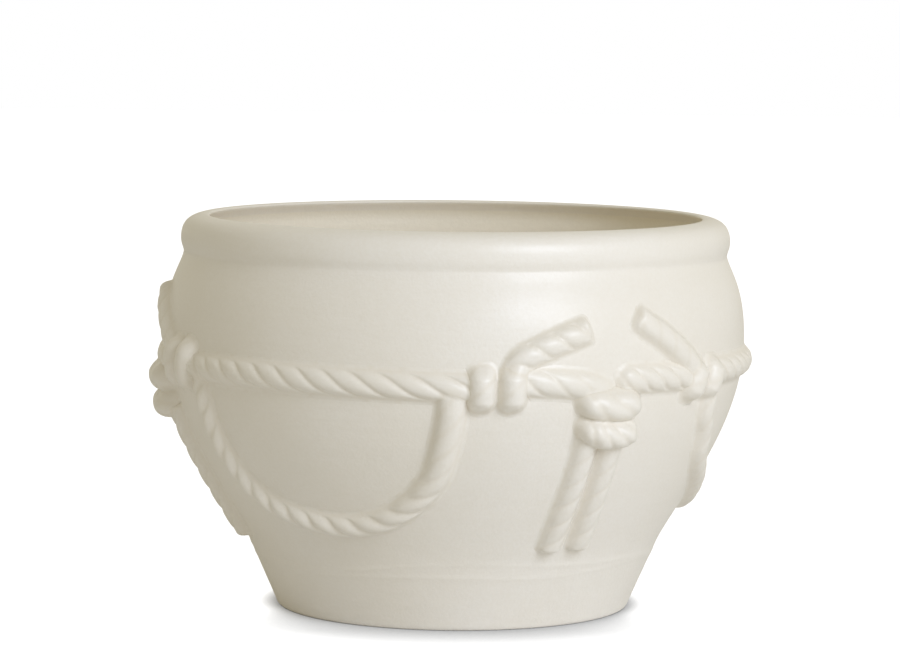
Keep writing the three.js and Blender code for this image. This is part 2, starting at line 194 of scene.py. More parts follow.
def wall_facing(height):
    """Outward and upward parts of the wall's normal, from the radii a little below and above."""
    below, above = curve_radius(height - SLOPE_REACH), curve_radius(height + SLOPE_REACH)
    fall = (below - above) / (2 * SLOPE_REACH)
    size = np.hypot(1.0, fall)
    return 1.0 / size, fall / size


def wall_point(angle, height, lift):
    """The point that stands lift off the wall, along its normal, at an angle and height."""
    out, up = wall_facing(height)
    radius = wall_radius(angle, height) + lift * out
    turn = np.radians(angle)
    return np.stack([radius * np.sin(turn), -radius * np.cos(turn), height + lift * up], -1)

# %% [markdown]
# ## Routes for the cords
# A cord's middle line is a smooth curve through a few given points. A Catmull-Rom curve
# passes through its points, unlike a Bezier, so it is easy to place on what the photograph shows.
# The points are taken on the wall as if it were unrolled, so that across and up count alike, and
# the curve is cut into even steps that each keep their heading along the wall.

# %% Routes
ROUTE_STEP = 0.6
SPAN_STEPS = 60
BATCH = 4000


def catmull_rom(points):
    """Centripetal Catmull-Rom curve: cubics whose end slopes come from the points beside them."""
    points = np.array(points, float)
    ends = [2 * points[0] - points[1], 2 * points[-1] - points[-2]]
    p = np.vstack([ends[0], points, ends[1]])
    gap = np.linalg.norm(np.diff(p, axis=0), axis=1)[:, None] ** 0.5
    before, during, after = gap[:-2], gap[1:-1], gap[2:]
    p0, p1, p2, p3 = p[:-3], p[1:-2], p[2:-1], p[3:]
    start = ((p1 - p0) / before - (p2 - p0) / (before + during) + (p2 - p1) / during) * during
    finish = ((p2 - p1) / during - (p3 - p1) / (during + after) + (p3 - p2) / after) * during
    t = np.linspace(0, 1, SPAN_STEPS, endpoint=False)[None, :, None]
    a, b = p1[:, None], start[:, None]
    c = (-3 * p1 + 3 * p2 - 2 * start - finish)[:, None]
    d = (2 * p1 - 2 * p2 + start + finish)[:, None]
    curve = a + b * t + c * t ** 2 + d * t ** 3
    return np.vstack([curve.reshape(-1, points.shape[1]), points[-1]])


def make_route(points):
    """A route is even steps along the curve, with the place, forward and left direction of each."""
    degree = np.radians(BELLY_RADIUS)
    unrolled = [(angle * degree, height) for angle, height in points]
    curve = catmull_rom(unrolled) / (degree, 1.0)
    marks = wall_point(curve[:, 0], curve[:, 1], 0.0)
    length = np.concatenate([[0], np.cumsum(np.linalg.norm(np.diff(marks, axis=0), axis=1))])
    count = max(int(length[-1] / ROUTE_STEP), 8)
    along = np.linspace(0, length[-1], count)
    angle = np.interp(along, length, curve[:, 0])
    height = np.interp(along, length, curve[:, 1])
    place = wall_point(angle, height, 0.0)
    forward = np.gradient(place, along, axis=0)
    forward /= np.linalg.norm(forward, axis=1)[:, None]
    out, up = wall_facing(height)
    turn = np.radians(angle)
    normal = np.stack([out * np.sin(turn), -out * np.cos(turn), up], -1)
    left = np.cross(normal, forward)
    return {"along": along, "angle": angle, "height": height, "place": place,
            "forward": forward, "left": left, "total": float(length[-1])}


def on_route(route, along, key):
    """A route's angle, height or one of its directions, at places along it."""
    values = route[key]
    if values.ndim == 1:
        return np.interp(along, route["along"], values)
    return np.stack([np.interp(along, route["along"], values[:, k]) for k in range(3)], -1)


def beside_route(route, along, left):
    """Angle and height of points so far along a route and so far to its left, on the wall."""
    inside = np.clip(along, 0, route["total"])
    angle, height, forward, side = (on_route(route, inside, key)
                                    for key in ("angle", "height", "forward", "left"))
    shift = forward * (along - inside)[..., None] + side * left[..., None]
    turn = np.radians(angle)
    across = shift[..., 0] * np.cos(turn) + shift[..., 1] * np.sin(turn)
    return angle + np.degrees(across / curve_radius(height)), height + shift[..., 2]


def nearest_on_route(route, points):
    """How far along a route, and how far to its left, each point lies, from its nearest step."""
    along = np.empty(len(points))
    left = np.empty(len(points))
    steps = route["place"]
    size = (steps ** 2).sum(1)
    for start in range(0, len(points), BATCH):
        part = slice(start, start + BATCH)
        near = np.argmin(size[None] - 2 * points[part] @ steps.T, axis=1)
        away = points[part] - steps[near]
        along[part] = route["along"][near] + (away * route["forward"][near]).sum(1)
        left[part] = (away * route["left"][near]).sum(1)
    return along, left

# %% [markdown]
# ## The height of a cord
# A laid rope shows its strands as lobes that slant across it. A bump in the material would be
# quick, but its outline would stay smooth, so here the strands are in the shape. Across the cord
# the height is a half circle with straight flanks; the strands turn round it like a screw thread,
# so a groove runs steeply over the top and lies down along the edges, as on a real rope.

# %% Height of a cord above the wall
DOME_EDGE = 0.88
FLANK = 0.5 / 1.136     # a cord's half width over its width, flanks and all
PAST_END = 0.2          # how far past its ends a cord's strands go on turning
# What shapes a cord along its length. Pairs hold from start to end: the pitch of its strands, how
# many there are and how deep the groove between them is. Rise and girth are shares of its height
# and width at the places in rise_at. The caps round its ends off, more squarely with a corner.
PLAIN_CORD = {
    "pitch": (14, 14), "strands": (3, 3), "phase": 0.0,
    "groove": (0, 0), "groove_at": (0, 1), "softness": 0.55,
    "rise": (1, 1), "girth": (1, 1), "rise_at": (0, 1),
    "start_cap": 3.0, "end_cap": 3.0, "corner": 2.0,
}


def dome(u):
    """A half circle over u from 0 to 1 that goes on as a straight slope once it gets steep."""
    edge = np.sqrt(1 - DOME_EDGE ** 2)
    slope = DOME_EDGE / edge
    round_part = np.sqrt(np.clip(1 - u ** 2, 0, 1))
    return np.where(u < DOME_EDGE, round_part, edge - slope * (u - DOME_EDGE))


def strand_groove(cord, along, left):
    """0 on a strand's broad crest and 1 in the narrow groove beside it, from the turning phase."""
    round_angle = np.arcsin(np.clip(left / cord["half"], -1, 1))
    first, last = cord["pitch"]
    total = cord["route"]["total"]
    share = np.clip(along / total, -PAST_END, 1 + PAST_END)
    count = total / (0.5 * (first + last))
    bend = (last - first) / (first + last)
    turns = count * (share + bend * share * (1 - share))
    strands = np.interp(share, (0, 1), cord["strands"])
    phase = turns + cord["phase"] + strands * round_angle / (2 * np.pi)
    soft = cord["softness"] ** 2
    valley = soft / (np.sin(np.pi * phase) ** 2 + soft)
    crest = soft / (1 + soft)
    return (valley - crest) / (1 - crest)


def cord_height(cord, along, left):
    """A cord's height is its proud height, less the groove, times a dome over how far out it is.

    Beside the cord the height falls on below the wall. The groove at the place is given back too.
    """
    total = cord["route"]["total"]
    groove = strand_groove(cord, along, left)
    share = np.clip(along / total, 0, 1)
    edge_fade = 1 - np.clip(np.abs(left) / cord["half"], 0, 1) ** 4
    swell = 1 - np.interp(share, cord["groove_at"], cord["groove"]) * edge_fade * groove
    proud = cord["proud"] * np.interp(share, cord["rise_at"], cord["rise"])
    width = cord["half"] * np.interp(share, cord["rise_at"], cord["girth"])
    over_start = np.maximum(cord["start_cap"] - along, 0) / cord["start_cap"]
    over_end = np.maximum(along - total + cord["end_cap"], 0) / cord["end_cap"]
    across = np.abs(left) / (width * swell)
    power = cord["corner"]
    u = (across ** power + over_start ** power + over_end ** power) ** (1 / power)
    return proud * swell * dome(u), groove


def cord(points, width, proud, **shape):
    """A cord is its route, half width and height, and PLAIN_CORD with what it does otherwise."""
    return {**PLAIN_CORD, **shape, "route": make_route(points), "half": FLANK * width,
            "proud": proud}

# %% [markdown]
# ## Where the pieces lie
# There are three groups of knots round the pot, not quite evenly spaced, since they were laid by
# hand. Each has a knot of two turns at either side, a pendant knot with two hanging ends in the
# middle, and two short ends that stand up. The points are the ones that the frame's cords use.

# %% The pieces
# Places round the pot, and what lies aside of them, are in degrees from the front; grooves, rise
# and girth are shares, and other sizes are in millimetres. A list of three numbers has one for each
# group, and a belt's lifts are for a stretch's start, middle and end.
LEFT_KNOTS = [7.9, 130.7, 253.9]
PENDANTS = [30.3, 152.8, 278.0]
RIGHT_KNOTS = [54.9, 176.0, 295.0]
HANGING_ASIDES = [-0.5, -0.4, 2.7]
HANGING_LEAN = -0.6
SWAG_START_ASIDES = [3.7, 5.0, 7.2]
SWAG_END_ASIDE = -8.1
BELT_HEIGHT = 147.0
BELT_WIDTH = 16.0
BELT_PROUD = 5.4
LONG_BELT_LIFT = (-0.6, -1.0, -2.5)
LEFT_BELT_LIFT = (0.4, -0.8, -4.5)
RIGHT_BELT_LIFT = (0.0, -0.4, -1.2)
LEFT_BELT_END_ASIDE = -0.1
RIGHT_BELT_START_ASIDE = 1.7
LONG_BELT = {"pitch": (12.2, 19.5), "strands": (3, 4), "groove": (0.16, 0.27), "phase": 0.82}
LEFT_BELT = {"pitch": (16, 18), "groove": (0.26, 0.0), "phase": 0.42}
RIGHT_BELT = {"pitch": (13, 13), "groove": (0.2, 0.26), "phase": 0.78}
LEFT_KNOT_LIFT = -3.2
RIGHT_KNOT_LIFTS = [-3.4, -3.4, -0.1]
RIGHT_KNOT_SLANT = 1.4
LEFT_TURN_HEIGHT = 25.0
RIGHT_TURN_HEIGHTS = [22.5, 22.5, 29.0]
TURN_WIDTH = 17.7
TURN_PROUD = 9.45
TURN_SPACING = 16.6
TURN_SHAPE = {"rise": (0.62, 0.93, 1, 0.93, 0.62), "girth": (0.88, 1, 1, 1, 0.88),
              "rise_at": (0, 0.25, 0.5, 0.75, 1), "start_cap": 7.5, "end_cap": 7.5, "corner": 2.8}
PENDANT_LIFTS = [0.0, 0.7, 1.5]
PENDANT_WIDTH = 39.0
PENDANT_TURN = 20.2
PENDANT_DROP = 13.2
PENDANT_SPACING = 14.8
UPPER_PROUD = 12.0
LOWER_PROUD = 14.0
UPPER_BOW = [(-1, 4.6), (-0.6, 1.5), (-0.1, -0.3), (0.5, 0.0), (1, 0.7)]
LOWER_BOW = [(-0.85, 6.4), (-0.5, 2.0), (-0.1, -0.2), (0.5, 0.2), (0.96, 2.8)]
UPPER_STRANDS = {"pitch": (17, 17), "strands": (4, 4)}
LOWER_STRANDS = {"pitch": (9.6, 9.6), "strands": (5, 5)}
PENDANT_SHAPE = {"groove": (0.07, 0.07), "softness": 0.9, "phase": 0.35, "rise": (0.8, 1, 1),
                 "girth": (0.72, 1, 1), "rise_at": (0, 0.35, 1), "start_cap": 9.0,
                 "end_cap": 10.0, "corner": 2.2}
HANGING_WIDTH = 15.2
HANGING_PROUD = 6.4
HANGING_APART = 7.85
HANGING_SPREAD = 1.4
HANGING_BOTTOMS = [48.2, 47.0, 43.2]
HANGING_SHAPE = {"end_cap": 4.5, "corner": 3.0}
HANGING_GROOVE = 0.13
WORN_GROOVES = [0.04, 0.13, 0.13]
SWAG_WIDTH = 14.8
SWAG_PROUD = 6.1
SWAG_DROP = 85.3
SWAG_GROOVES = [0.07, 0.22, 0.22]
FADED_GROOVES = (0.03, 0.02)
SWAG_SHAPE = {"pitch": (13.0, 16.0), "groove_at": (0, 0.72, 0.86, 1), "softness": 0.9,
              "rise": (0.45, 1, 1, 1, 0.6), "girth": (1.1, 1, 1, 1.14, 1.2),
              "rise_at": (0, 0.06, 0.5, 0.94, 1)}
SWAG_POINTS = [
    (0, 0), (0.0, 0.14), (0.0, 0.3), (0.009, 0.455), (0.037, 0.605), (0.084, 0.75),
    (0.181, 0.885), (0.329, 0.965), (0.496, 1), (0.655, 0.975), (0.811, 0.864), (0.932, 0.65),
    (0.977, 0.395), (0.995, 0.2), (1, 0),
]
SLACK_SWAG_POINTS = [
    (0, 0), (0.0, 0.1), (0.014, 0.277), (0.05, 0.4), (0.076, 0.52), (0.12, 0.62), (0.244, 0.77),
    (0.41, 0.93), (0.56, 1), (0.7, 0.985), (0.84, 0.87), (0.94, 0.65), (0.978, 0.395),
    (0.995, 0.2), (1, 0),
]
SWAG_ROUTES = [SLACK_SWAG_POINTS, SWAG_POINTS, SWAG_POINTS]
END_WIDTH = 15.5
END_PROUD = 6.0
END_SHAPE = {"pitch": (13.5, 13.5), "strands": (2, 2), "end_cap": 4.5, "corner": 3.4}
LEFT_END_GROOVE = 0.2
LEFT_END_PHASE = 0.3
RIGHT_END_PHASE = 0.0
LEFT_END = {"reach": 52.8, "rise": 28.6,
            "points": [(0.163, 0.06), (0.22, 0.36), (0.31, 0.5), (0.6, 0.745), (1, 1)]}
RIGHT_ENDS = [
    {"reach": -55.0, "rise": 34.4,
     "points": [(0.16, 0.09), (0.34, 0.325), (0.665, 0.677), (0.865, 0.86), (1, 1)]},
    {"reach": -54.0, "rise": 38.0,
     "points": [(0.153, 0.08), (0.35, 0.3), (0.66, 0.6), (0.88, 0.8), (1, 1)]},
    {"reach": -55.5, "rise": 40.8,
     "points": [(0.148, 0.07), (0.4, 0.3), (0.68, 0.58), (0.95, 0.83), (1, 1)]},
]


def degrees_for(distance, height):
    """The angle round the pot that a distance along the wall takes up at a height."""
    return np.degrees(distance / curve_radius(height))


TURN_ANGLE = degrees_for(TURN_SPACING / 2, BELT_HEIGHT)


def wrap_knot(middle, height, lift, slant):
    """Two upright turns side by side, highest where they cross the belt."""
    turns = []
    for side in (-1, 1):
        angle = middle + side * TURN_ANGLE
        points = [(angle + share * slant, BELT_HEIGHT + lift + share * height / 2)
                  for share in (-1, 0, 1)]
        turns.append(cord(points, TURN_WIDTH, TURN_PROUD, **TURN_SHAPE))
    return turns


def pendant_knot(middle, upper, lower):
    """Two level turns one above the other; their left ends rise and thin out, as on the pot."""
    turns = []
    for height, bow, proud, strands in ((upper, UPPER_BOW, UPPER_PROUD, UPPER_STRANDS),
                                        (lower, LOWER_BOW, LOWER_PROUD, LOWER_STRANDS)):
        half = degrees_for(PENDANT_WIDTH / 2, height)
        points = [(middle + share * half, height + rise) for share, rise in bow]
        turns.append(cord(points, PENDANT_TURN, proud, **PENDANT_SHAPE, **strands))
    return turns


def belt(start, end, lifts, caps, **shape):
    """A stretch of belt through three heights, at its start, middle and end."""
    points = [(start + share * (end - start), BELT_HEIGHT + lift)
              for share, lift in zip((0, 0.5, 1), lifts)]
    return [cord(points, BELT_WIDTH, BELT_PROUD, start_cap=caps[0], end_cap=caps[1], **shape)]


def swag(start, end, shares, groove):
    """The hanging cord, from shares of its span and drop; its strands fade at the far end."""
    points = [(start + across * (end - start), BELT_HEIGHT - drop * SWAG_DROP)
              for across, drop in shares]
    return [cord(points, SWAG_WIDTH, SWAG_PROUD, groove=(groove, groove, *FADED_GROOVES),
                 **SWAG_SHAPE)]


def standing_end(knot, end, groove, phase):
    """A short cut end of cord that leaves a knot and stands up from the belt."""
    points = [(knot + degrees_for(across * end["reach"], BELT_HEIGHT),
               BELT_HEIGHT + up * end["rise"]) for across, up in end["points"]]
    return [cord(points, END_WIDTH, END_PROUD, groove=(groove, groove), phase=phase, **END_SHAPE)]


def hanging_end(middle, side, top, bottom, groove, phase):
    """One of the two ends that hang down from the pendant knot, cut square at the bottom."""
    points = [(middle + share * HANGING_LEAN
               + side * degrees_for(HANGING_APART + share * HANGING_SPREAD, height), height)
              for share, height in ((0, top), (0.5, (top + bottom) / 2), (1, bottom))]
    return [cord(points, HANGING_WIDTH, HANGING_PROUD, groove=(groove, HANGING_GROOVE),
                 phase=phase, **HANGING_SHAPE)]


pieces = {}
for index in range(len(LEFT_KNOTS)):
    number = index + 1
    left_knot, pendant, right_knot = LEFT_KNOTS[index], PENDANTS[index], RIGHT_KNOTS[index]
    next_knot = [*LEFT_KNOTS, LEFT_KNOTS[0] + 360][number]
    hanging, bottom = pendant + HANGING_ASIDES[index], HANGING_BOTTOMS[index]
    upper = BELT_HEIGHT - PENDANT_DROP + PENDANT_LIFTS[index]
    lower = upper - PENDANT_SPACING
    hollow_share = WORN_GROOVES[index]
    pieces[f"belt_long_{number}"] = belt(
        right_knot + TURN_ANGLE, next_knot - TURN_ANGLE, LONG_BELT_LIFT, (3.0, 3.0), **LONG_BELT)
    pieces[f"belt_left_{number}"] = belt(
        left_knot + TURN_ANGLE, pendant + LEFT_BELT_END_ASIDE, LEFT_BELT_LIFT, (3.0, 20.0),
        **LEFT_BELT)
    pieces[f"belt_right_{number}"] = belt(
        pendant + RIGHT_BELT_START_ASIDE, right_knot - TURN_ANGLE, RIGHT_BELT_LIFT, (8.0, 3.0),
        **RIGHT_BELT)
    pieces[f"swag_cord_{number}"] = swag(
        right_knot + SWAG_START_ASIDES[index], next_knot + SWAG_END_ASIDE, SWAG_ROUTES[index],
        SWAG_GROOVES[index])
    pieces[f"cord_end_left_{number}"] = standing_end(
        left_knot, LEFT_END, LEFT_END_GROOVE, LEFT_END_PHASE)
    pieces[f"cord_end_right_{number}"] = standing_end(
        right_knot, RIGHT_ENDS[index], hollow_share, RIGHT_END_PHASE)
    for side, share, phase in (("left", -1, 0.0), ("right", 1, 0.5)):
        pieces[f"hanging_cord_{side}_{number}"] = hanging_end(hanging, share, lower, bottom,
                                                              hollow_share, phase)
    pieces[f"wrap_knot_left_{number}"] = wrap_knot(
        left_knot, LEFT_TURN_HEIGHT, LEFT_KNOT_LIFT, 0.0)
    pieces[f"wrap_knot_right_{number}"] = wrap_knot(
        right_knot, RIGHT_TURN_HEIGHTS[index], RIGHT_KNOT_LIFTS[index], RIGHT_KNOT_SLANT)
    pieces[f"pendant_knot_{number}"] = pendant_knot(pendant, upper, lower)
print("Pieces of cord:", len(pieces))

# %% [markdown]
# ## One skin of glaze over everything
# Pieces that simply run into each other meet in hard lines, which a glazed pot never has. One way
# out is to join everything and remesh it, but then the pieces are lost. Here each piece keeps its
# own mesh and takes its height from one shared field: the smooth maximum of all the cords and the
# wall. Where another piece is higher, or the wall begins, the mesh bends down out of sight, and it
# leaves the shared surface without a kink, so the joint between two pieces can't be seen. The
# fillets are also where glaze gathers, and where the material paints in shade, so each mesh keeps
# how deep it lies, for the material.

# %% The shared surface
GLAZE_RADIUS = 3.3      # of the fillet between two heights
# A hollow's pool is where glaze gathers, and the material also darkens it there as painted shade.
POOL_DEPTH = 0.25       # share of that radius at which a hollow counts as full of glaze
POOL_FADE = 1.5         # the pool thins out where the skin stands less than this off the wall
DIP = 0.5               # how fast a mesh bends down out of sight
SUNK = -1.6
RIM_OF_PIECE = -2.2
FAR_BELOW = -50.0
NEAR = 24.0
NEAR_LEVEL = 100.0
ANGLE_TRIES = 24
END_MARGIN = 4.5        # of a cord's grid, beyond its ends
SIDE_MARGIN = 3.4       # of any grid, beyond the flanks
PLAIN_MARGIN = 4.0      # of a knot's grid, where its turns end
FLANKED = 1.14          # a cord's width with its flanks, over what its half width says
CORD_STEP = 0.75
CORD_COLUMNS = 41
KNOT_STEP = 0.65
CM3 = 1e6


def smooth_max(a, b, radius):
    """The larger of two heights, with the corner between them rounded by a parabola."""
    near = np.clip(radius - np.abs(a - b), 0, None) / radius
    return np.maximum(a, b) + near ** 2 * radius / 4


def angle_gap(a, b):
    """The turn from b to a, between -180 and 180 degrees."""
    return (a - b + 180) % 360 - 180


def near_piece(cords, angle, height):
    """Whether one of a piece's cords comes near the places."""
    tries = np.linspace(angle.min(), angle.max(), ANGLE_TRIES)
    for one in cords:
        route = one["route"]
        across = np.abs(angle_gap(route["angle"][:, None], tries[None])).min()
        if (across < degrees_for(NEAR, NEAR_LEVEL)
                and route["height"].min() - NEAR < height.max()
                and route["height"].max() + NEAR > height.min()):
            return True
    return False


def skin_height(name, angle, height):
    """Height of the shared surface, bent under where this piece doesn't show, with the two hollows.

    The surface is the smooth maximum of the wall, at 0, and all cords. The squares of how far the
    piece lies under the others, and under the wall's fillet, are taken off. The hollows are the
    glaze's pool in the fillets, from 0 to 1, and the groove between the piece's own strands; the
    material darkens both, for glaze that gathers there and as painted shade.
    """
    points = wall_point(angle, height, 0.0)
    skin = np.zeros(len(angle))
    own = np.full(len(angle), FAR_BELOW)
    others = np.full(len(angle), FAR_BELOW)
    own_groove = np.zeros(len(angle))
    for other, cords in pieces.items():
        if not near_piece(cords, angle, height):
            continue
        for one in cords:
            raised, groove = cord_height(one, *nearest_on_route(one["route"], points))
            skin = smooth_max(skin, raised, GLAZE_RADIUS)
            if other == name:
                own_groove = np.where(raised > own, groove, own_groove)
                own = np.maximum(own, raised)
            else:
                others = np.maximum(others, raised)
    highest = np.maximum(np.maximum(own, others), 0)
    pool_and_shade = np.clip((skin - highest) / (POOL_DEPTH * GLAZE_RADIUS), 0, 1)
    pool_and_shade = pool_and_shade * np.clip(skin / POOL_FADE, 0, 1)
    hidden = np.clip(others - own, 0, None) ** 2 + np.clip(-own - GLAZE_RADIUS, 0, None) ** 2
    return np.maximum(skin - DIP * hidden, SUNK), pool_and_shade, own_groove


def piece_grid(name):
    """Angles and heights of a piece's grid: along a single cord, or an upright patch for a knot."""
    cords = pieces[name]
    if len(cords) == 1:
        one = cords[0]
        total = one["route"]["total"]
        side = FLANKED * one["half"] * max(one["girth"]) + SIDE_MARGIN
        rows = int((total + 2 * END_MARGIN) / CORD_STEP)
        along, left = np.meshgrid(np.linspace(-END_MARGIN, total + END_MARGIN, rows),
                                  np.linspace(side, -side, CORD_COLUMNS), indexing="ij")
        return beside_route(one["route"], along, left)
    angles = np.concatenate([one["route"]["angle"] for one in cords])
    heights = np.concatenate([one["route"]["height"] for one in cords])
    margins = (PLAIN_MARGIN, FLANKED * cords[0]["half"] + SIDE_MARGIN)
    above, side = margins if name.startswith("wrap") else margins[::-1]
    turn = degrees_for(side, heights.mean())
    tall = np.arange(heights.min() - above, heights.max() + above, KNOT_STEP)
    wide = np.arange(angles.min() - turn, angles.max() + turn,
                     degrees_for(KNOT_STEP, heights.mean()))
    height, angle = np.meshgrid(tall, wide, indexing="ij")
    return angle, height


def grid_faces(rows, columns):
    """Quads of a grid whose first index runs up the rows, wound to face outwards."""
    start = (np.arange(rows - 1)[:, None] * columns + np.arange(columns - 1)[None]).ravel()
    return np.stack([start, start + 1, start + columns + 1, start + columns], -1)


def make_object(name, vertices, faces, attributes):
    """A smooth mesh object at the origin, from millimetre points and lists of vertex numbers."""
    mesh = bpy.data.meshes.new(name)
    mesh.from_pydata((np.asarray(vertices) * MM).tolist(), [], faces)
    for label, values in attributes.items():
        layer = mesh.attributes.new(label, "FLOAT", "POINT")
        layer.data.foreach_set("value", np.asarray(values, np.float32))
    mesh.polygons.foreach_set("use_smooth", np.ones(len(mesh.polygons), bool))
    mesh.update()
    obj = bpy.data.objects.new(name, mesh)
    bpy.context.collection.objects.link(obj)
    return obj


def signed_volume(obj):
    """Volume from the faces' winding: positive when they face outwards."""
    mesh = obj.data
    mesh.calc_loop_triangles()
    corners = np.empty(len(mesh.loop_triangles) * 3, np.int32)
    mesh.loop_triangles.foreach_get("vertices", corners)
    points = np.empty(len(mesh.vertices) * 3, np.float32)
    mesh.vertices.foreach_get("co", points)
    a, b, c = points.reshape(-1, 3)[corners.reshape(-1, 3)].transpose(1, 0, 2)
    return float((a * np.cross(b, c)).sum() / 6)


def make_piece(name):
    """A closed mesh: the grid on the shared surface, with its rim sunk and a plain back."""
    angle, height = piece_grid(name)
    rows, columns = angle.shape
    lift, pool_and_shade, groove = skin_height(name, angle.ravel(), height.ravel())
    lift = lift.reshape(rows, columns)
    lift[0] = lift[-1] = RIM_OF_PIECE
    lift[:, 0] = lift[:, -1] = RIM_OF_PIECE
    vertices = wall_point(angle, height, lift).reshape(-1, 3)
    faces = grid_faces(rows, columns)
    left = np.arange(rows) * columns
    right = left + columns - 1
    back = np.stack([left[:-1], left[1:], right[1:], right[:-1]], -1)
    ends = [list(range(columns - 1, -1, -1)), list(range((rows - 1) * columns, rows * columns))]
    return make_object(name + "_glazed", vertices, faces.tolist() + back.tolist() + ends,
                       {"pool_and_shade": pool_and_shade, "groove": groove})


glazed = {name: make_piece(name) for name in pieces}
for name, obj in glazed.items():
    length = sum(one["route"]["total"] for one in pieces[name])
    print(name, round(length), "mm of cord,", len(obj.data.polygons), "faces, volume",
          round(signed_volume(obj) * CM3, 2), "cm3")

# %% [markdown]
# ## The body
# The body could be a Screw modifier on a profile. Here it is a grid instead, profile by angle, so
# that the slow waves and the foot's seam can be in it, and the cords can follow the same wall.
# The rim is a roll that turns over to a narrow flat, with a sharp inner lip and a hollow under it.

# %% Body profile
BODY_COLUMNS = 320
# Where the inside's lighter colour, a painted light, begins.
INSIDE_START = 58       # rows from the neck, over the rim, to where the inside's glaze starts
INSIDE_WAVE = 0.6       # share of the outside's waves that the inside has
WAVE_START = 3.0        # the waves grow from nothing at the floor to full at this height
WAVE_RADIUS = 60.0      # and fade inside this radius
CORNER_HEIGHT = 14.0    # of the inside's round corner, above the pot's floor
POLE_RADIUS = 4.0       # of the fans that close the floor and the underside


def rim_curve():
    """The rolled rim, from the neck over the crest to the mouth and the hollow under the lip."""
    roll_height = NECK_HEIGHT + RIM_ROLL_HEIGHT
    rise = CREST_HEIGHT - roll_height
    crest = MOUTH_RADIUS + CREST_WIDTH
    lip = MOUTH_RADIUS + LIP_UNDERCUT
    rim = CREST_HEIGHT - NECK_HEIGHT
    swell = bezier([(NECK_RADIUS, NECK_HEIGHT), (NECK_RADIUS - 0.1, NECK_HEIGHT + 2.2),
                    (RIM_RADIUS, roll_height - 4.2), (RIM_RADIUS, roll_height)], 14)
    roll = bezier([(RIM_RADIUS, roll_height), (RIM_RADIUS, roll_height + 0.52 * rise),
                   (RIM_RADIUS - 0.2 * (RIM_RADIUS - crest), CREST_HEIGHT - 0.08 * rise),
                   (crest, CREST_HEIGHT)], 30)
    edge = bezier([(crest, CREST_HEIGHT), (MOUTH_RADIUS + 1.0, CREST_HEIGHT),
                   (MOUTH_RADIUS, CREST_HEIGHT - 0.3), (MOUTH_RADIUS, CREST_HEIGHT - LIP_DROP)], 10)
    hollow = bezier([(MOUTH_RADIUS, CREST_HEIGHT - LIP_DROP),
                     (MOUTH_RADIUS + 0.4, CREST_HEIGHT - 0.14 * rim),
                     (lip, CREST_HEIGHT - 0.3 * rim), (lip, CREST_HEIGHT - 0.62 * rim)], 14)
    return np.vstack([swell[1:], roll[1:], edge[1:], hollow[1:]])


def inside_curve():
    """The inside, a wall's thickness behind the outside, with a rounded corner to the floor."""
    height = np.linspace(NECK_HEIGHT - 1.0, FLOOR + CORNER_HEIGHT, 60)
    out, up = wall_facing(height)
    inner = np.stack([curve_radius(height) - WALL * out, height - WALL * up], -1)
    low = inner[-1]
    turn = bezier([low, (low[0] - 3.0, low[1] - 7.0), (low[0] - 7.0, FLOOR),
                   (low[0] - 17.0, FLOOR)], 14)
    floor = np.stack([np.linspace(low[0] - 22.0, POLE_RADIUS, 14), np.full(14, FLOOR)], -1)
    return np.vstack([inner, turn[1:], floor])


def outside_rows():
    """Rows of the outside, closer together at the base edge and over the foot's seam."""
    base = bezier([(FOOT_RADIUS - FOOT_EDGE, 0.0), (FOOT_RADIUS - 0.5, 0.0),
                   (FOOT_RADIUS + 0.2, 0.5), (FOOT_RADIUS + 0.9, 2.0)], 8)
    heights = np.concatenate([np.arange(4.0, 24.0, 2.0), np.arange(24.0, 46.0, 0.8),
                              np.arange(46.0, NECK_HEIGHT, 2.2)])
    return np.vstack([base, np.stack([curve_radius(heights), heights], -1),
                      [(NECK_RADIUS, NECK_HEIGHT)]])


def underside():
    """The recess under the foot and the flat ring that the pot stands on."""
    ring = FOOT_RADIUS - FOOT_EDGE - FOOT_RING
    recess = np.stack([np.linspace(POLE_RADIUS, ring - FOOT_RECESS, 12),
                       np.full(12, FOOT_RECESS)], -1)
    step = bezier([recess[-1], (ring - 1.2, FOOT_RECESS), (ring - 0.6, 0.4), (ring + 0.6, 0.0)], 8)
    flat = np.stack([np.linspace(ring + 3, FOOT_RADIUS - FOOT_EDGE - 2, 4), np.zeros(4)], -1)
    return np.vstack([recess, step[1:], flat])


